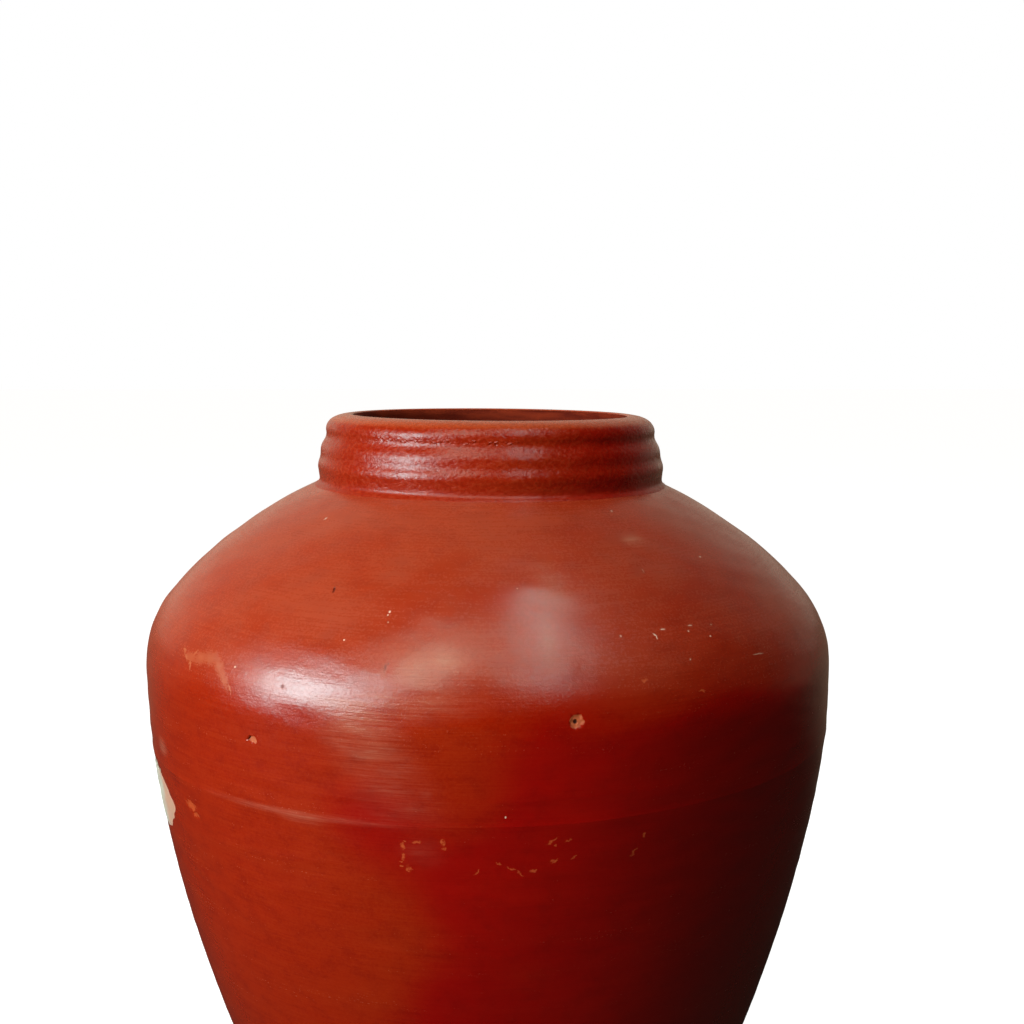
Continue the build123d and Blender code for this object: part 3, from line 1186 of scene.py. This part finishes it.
specks = marks(
    (389.8, 611.8, 1.3, 1.6), (387.9, 615, 0.9, 1), (388.2, 622.3, 0.9, 0.8), (344, 640, 1.2, 1),
    (235.4, 666.8, 1.3, 1.3), (517.3, 588.5, 1.1, 0.8), (620.7, 636, 1.2, 1.5),
    ((652.8, 633.6), (656, 635.6), 0.45), ((656, 635.6), (656.9, 638.8), 0.4),
    ((659.8, 629.4), (665.2, 629), 0.32), (688.3, 631.1, 1, 1.2),
    ((687.4, 625.6), (692.6, 625.2), 0.25), (710.3, 636, 1, 0.9), (711.6, 624.8, 0.9, 0.8),
    (702.6, 557, 1.1, 0.9), ((643.4, 569.2), (645.2, 572.6), 0.3), (614, 511.4, 1.1, 0.8),
    ((322, 519.8), (325.4, 517.6), 0.45), (690.2, 659.3, 0.9, 0.9), (505.6, 817.5, 1.1, 1.5),
    ((752, 655), (765, 653), 0.2),
)
# Dark spots in three of the dents, painted as shade.
pits = marks(
    (282.6, 686.4, 2.6, 2.6), (385.3, 667.5, 1.8, 5), (388.5, 664, 1.4, 2),
)
print(len(scuff_lines) + len(scuff_bands) + len(worn) + len(specks) + len(pits), "worn marks")

# %% The colours
dark_red = rgb(112, 1, 0)
deep_red = rgb(143, 1, 0)
brick_red = rgb(151, 5, 0)
painted_lit_orange = rgb(148, 30, 1)
pale_orange = rgb(167, 52, 14)
dust_pink = rgb(178, 98, 66)
pale_sheen = rgb(186, 122, 96)
raw_clay = rgb(198, 94, 48)
raw_shade = rgb(166, 74, 38)
scuff_orange = rgb(184, 96, 54)
worn_orange = rgb(210, 92, 40)
speck_white = rgb(226, 186, 164)
painted_hollow_shade = rgb(52, 8, 2)
neck_orange = rgb(140, 34, 8)
lip_orange = rgb(186, 80, 38)
glint = (0.80, 1.0, 1.0, 1.0)

# %% The red slip
crown_zone = (0.37, 0.40)
shoulder_foot = (0.32, 0.34)
shoulder_top = (0.40, 0.37)
slip_relief = 0.00010
ragged_scale = 420.0
ragged_reach = 0.0030
# Some tint shares set painted shade: the darker right side, the near-black eyes of the chips, and the dark
# spots in three dents.
tint_shares = {"patches_and_shade": 0.75, "bands": 0.20, "light_lines": 0.24, "dark_lines": 0.22, "mottle": 0.28}
tint_shares |= {"light_dapple": 0.26, "dark_dapple": 0.20, "film": 0.21, "rubbed": 0.62, "clay": 0.92}
tint_shares |= {"eye_shade": 0.9, "pits": 0.5, "specks": 0.85}
rough_shares = {"coat": 0.10, "bands": 0.04, "film": 0.10, "lines": 0.045, "mottle": 0.08, "dapple": 0.08}
rough_shares |= {"scuffs": 0.3, "rubbed": 0.3, "clay": 0.4, "pits": 0.35, "least": 0.17, "most": 0.9}

slip, place = start_material("red_slip")
flat_map, level = over_skin(place)
facing_up = upward_share(place)
light_and_shade = stored(place, "light_and_shade")
dust_and_sheen = stored(place, "dust_and_sheen")
belly_share = 1 - 0.7 * level.between(*crown_zone)
shoulder_share = level.between(*shoulder_foot) * level.between(*shoulder_top)

# Deep red where the coat is thick. Painted light and shade: orange where the windows light the crown
# and the left flank, darker red on the shaded right.
patches_and_shade = grain(place, "patches_and_shade")
bands = grain(place, "bands")
cloud = grain(place, "cloud").between(0.3, 0.7)
colour = patches_and_shade.between(0.30, 0.70).mix(deep_red, brick_red)
colour = light_and_shade.mix(colour, painted_lit_orange)
# Painted shade: darker red on the right, away from the windows.
colour = ((0 - light_and_shade) * tint_shares["patches_and_shade"]).mix(colour, dark_red)
# The pale bands, lines and dapple below are painted only where this painted light falls.
lit_share = 0.15 + 0.85 * light_and_shade.most(0.0)

# Dust lies on what faces up.
film = (facing_up + 0.10 * bands).between(0.15, 0.66) * (0.40 + 0.60 * cloud)

# The bands of the brush.
colour = (bands.between(0.42, 0.80) * belly_share * lit_share * tint_shares["bands"]).mix(colour, pale_orange)
rough = rough_shares["coat"] + rough_shares["bands"] * bands.between(0.4, 0.8) + rough_shares["film"] * film
surface = 0.25 * bands

# The lines of the pebble.
lines = grain(place, "lines")
light_lines = lines.between(0.45, 0.80) * belly_share * lit_share
colour = (light_lines * tint_shares["light_lines"]).mix(colour, pale_orange)
colour = (lines.between(0.50, 0.25) * belly_share * tint_shares["dark_lines"]).mix(colour, dark_red)
rough = rough + rough_shares["lines"] * lines.between(0.35, 0.62)
surface = surface + (0.04 + 0.50 * shoulder_share) * lines

# The mottle of the clay, and its finest grain.
mottle = grain(place, "mottle")
colour = (mottle.between(0.42, 0.72) * tint_shares["mottle"]).mix(colour, dark_red)
rough = rough + rough_shares["mottle"] * mottle
surface = surface + (0.45 + 2.2 * shoulder_share) * mottle
dapple = grain(place, "dapple")
colour = (dapple.between(0.40, 0.75) * lit_share * tint_shares["light_dapple"]).mix(colour, pale_orange)
colour = (dapple.between(0.50, 0.25) * tint_shares["dark_dapple"]).mix(colour, dark_red)
rough = rough + rough_shares["dapple"] * dapple.between(0.42, 0.68)
surface = surface + (0.20 + 0.8 * shoulder_share) * dapple
colour = (film * tint_shares["film"]).mix(colour, dust_pink)

# Painted sheen where the windows reflect, mixed with pale dust, and short dashes of it along the lines of
# the pebble.
dashes = grain(place, "dashes").between(0.50, 0.68)
colour = (dust_and_sheen * (0.22 + 0.26 * lines.between(0.35, 0.65) + 0.20 * dashes)).mix(colour, pale_sheen)
surface = surface + 0.4 * dust_and_sheen * dashes
bump = raised(surface, slip_relief)

# Wear, with a ragged edge.
warp = place.node("ShaderNodeTexNoise", {"Vector": place, "Scale": ragged_scale, "Detail": 1.0}, out=1)
warp = warp.node("ShaderNodeVectorMath", {0: warp, 1: (0.5, 0.5, 0.5)}, operation="SUBTRACT")
warp = warp.node("ShaderNodeVectorMath", {0: warp, 3: ragged_reach}, operation="SCALE")
torn_map = flat_map.node("ShaderNodeVectorMath", {0: flat_map, 1: warp}, operation="ADD")
scuffs = marked(torn_map, scuff_bands, 0.0) * (0.12 + 0.34 * cloud)
scuffs = scuffs.most(marked(torn_map, scuff_lines, 0.0) * 0.7)
colour = scuffs.mix(colour, scuff_orange)
rough = rough + rough_shares["scuffs"] * scuffs
crumbs = grain(place, "crumbs")
rubbed = marked(torn_map, worn, 0.2) * (0.35 + 0.65 * crumbs.between(0.35, 0.6))
colour = (rubbed * tint_shares["rubbed"]).mix(colour, worn_orange)
rough = rough + rough_shares["rubbed"] * rubbed
bare_spots = marked(torn_map, [spall, chip], 0.75)
colour = (bare_spots * tint_shares["clay"]).mix(colour, crumbs.mix(raw_shade, raw_clay))
rough = rough + rough_shares["clay"] * bare_spots
# Painted shade: the deep eye of the spall, the slit of the chip and the nick in the crown are painted nearly
# black.
eye_shade = marked(flat_map, [spall_eye, chip_slit, crown_nick], 0.6)
colour = (eye_shade * tint_shares["eye_shade"]).mix(colour, painted_hollow_shade)
# Painted shade: dark spots in three of the dents.
pit_shade = marked(flat_map, pits, 0.2)
colour = (pit_shade * tint_shares["pits"]).mix(colour, painted_hollow_shade)
rough = rough + rough_shares["pits"] * pit_shade
colour = (marked(flat_map, specks, 0.5) * tint_shares["specks"]).mix(colour, speck_white)
rough = rough.most(rough_shares["least"]).least(rough_shares["most"])
feed(slip, Base_Color=colour, Roughness=rough, Normal=bump, IOR=1.5, Specular_Tint=glint)

# %% [markdown]
# The neck was pressed and wiped rather than burnished, so its slip is duller, and its clay shows a fine
# leathery grain that sparkles where a window catches it.

# %% The slip of the neck
right_side = (0.04, 0.11)
lip_zone = (0.468, 0.476)
root_zone = (0.4455, 0.4430)
neck_relief = 0.00028

neck_slip, place = start_material("neck_slip")
facing_up = upward_share(place)
sideways = place.part(x_axis)
patches_and_shade = grain(place, "patches_and_shade")
bands = grain(place, "neck_bands")
mottle = grain(place, "neck_mottle")
pores = grain(place, "pores")
# Painted light and shade: more orange on the neck's lit left, deeper red on its shaded right.
light_and_shade = 0.85 - 0.55 * (sideways + 0.06 * patches_and_shade).between(*right_side)
colour = light_and_shade.mix(deep_red, neck_orange)
colour = (mottle.between(0.45, 0.80) * 0.3).mix(colour, deep_red)
colour = (bands.between(0.45, 0.80) * 0.10).mix(colour, pale_orange)
# The pale grain is painted as sparkle, only on the lit side.
colour = (pores.between(0.45, 0.75) * light_and_shade * 0.45).mix(colour, pale_orange)
colour = (pores.between(0.5, 0.3) * 0.35).mix(colour, dark_red)
lip_share = place.part(z_axis).between(*lip_zone)
colour = (facing_up.between(0.55, 0.95) * lip_share * 0.5).mix(colour, lip_orange)
root_share = place.part(z_axis).between(*root_zone)
rough = 0.15 + 0.04 * bands + 0.05 * mottle + 0.12 * pores.between(0.42, 0.62) + 0.08 * root_share
bump = raised(1.3 * pores + 0.5 * mottle + 0.2 * bands, neck_relief)
feed(neck_slip, Base_Color=colour, Roughness=rough.least(0.9), Normal=bump, IOR=1.39, Specular_Tint=glint)

# %% [markdown]
# No slip was brushed under the foot, on the coil pressed into the corner of the foot or on the coil
# pressed inside the seam. These two coils show the bare clay: paler, rough and full of grit.

# %% The bare terracotta
bare_relief = 0.00030

bare, place = start_material("bare_terracotta")
grit = grain(place, "grit")
stain = grain(place, "foot_stain")
colour = stain.between(0.3, 0.7).mix(rgb(150, 76, 46), rgb(176, 98, 64))
colour = (grit.between(0.55, 0.75) * 0.4).mix(colour, rgb(112, 52, 32))
bump = raised(grit + 0.4 * stain, bare_relief)
feed(bare, Base_Color=colour, Roughness=0.8 + 0.1 * stain, Normal=bump, IOR=1.5)

# %% [markdown]
# The filler is lime putty: matt, nearly white, and stained pink at its edge where slip was wiped over it.

# %% The lime filler
wiped_front = 0.074
wiped_height = 0.261
front_slope = 20
height_slope = 16
lime_relief = 0.00012

lime, place = start_material("lime_filler")
stain = grain(place, "lime_stain")
low_share = stain + height_slope * (wiped_height - place.part(z_axis))
near_share = stain - front_slope * (wiped_front + place.part(y_axis))
wiped = near_share.between(0.35, 0.95).most(low_share.between(0.45, 0.8))
colour = wiped.mix(rgb(176, 170, 154), rgb(182, 134, 110))
bump = raised(grain(place, "powder"), lime_relief)
feed(lime, Base_Color=colour, Roughness=0.85, Normal=bump)

# %% [markdown]
# Inside, nobody brushed any slip, and the fingers left the clay dull. It is painted dark as shade, since
# little light comes in through the mouth. The inner faces of each ring carry this finish, the outer ones the
# slip.

# %% The clay inside
inner_shade_clay, place = start_material("inner_clay_in_shade")
stain = grain(place, "inner_stain")
# Painted shade: both tones are darker than the bare clay.
colour = stain.between(0.3, 0.7).mix(rgb(78, 16, 5), rgb(112, 34, 14))
feed(inner_shade_clay, Base_Color=colour, Roughness=0.7 + 0.2 * stain, Normal=raised(stain, bare_relief), IOR=1.15)

# %% Dress the rings
rings["filler_patch"] = patch
finishes = {
    "filler_patch": lime,
    "base_coil": bare,
    "inner_seam_coil": bare,
    "lower_neck_coil": neck_slip,
    "upper_neck_coil": neck_slip,
    "lip_coil": neck_slip,
}
hollow_rings = ["lower_wall", "seam_coil", "shoulder_wall", "lower_neck_coil", "upper_neck_coil", "lip_coil"]
smooth_under = math.radians(40)
inside_from_share = 0.5


def line_inside(ring):
    """Gives the inner faces of a ring the dark finish of the inside, painted as shade."""
    depth = np.empty(len(ring.data.vertices), np.float32)
    ring.data.attributes["inside"].data.foreach_get("value", depth)
    first = np.empty(len(ring.data.polygons), np.int32)
    ring.data.polygons.foreach_get("loop_start", first)
    corners = np.empty(len(ring.data.loops), np.int32)
    ring.data.loops.foreach_get("vertex_index", corners)
    lined = depth[corners[first]] > inside_from_share
    ring.data.materials.append(inner_shade_clay)
    ring.data.polygons.foreach_set("material_index", lined.astype(np.int32))
    print(ring.name, "has", int(lined.sum()), "inner faces")


for node, ring in rings.items():
    select_only(ring)
    bpy.ops.object.shade_smooth_by_angle(angle=smooth_under)
    ring.data.materials.append(finishes.get(node, slip))
    if node in hollow_rings:
        line_inside(ring)
    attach(ring, "root")
    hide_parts(node)
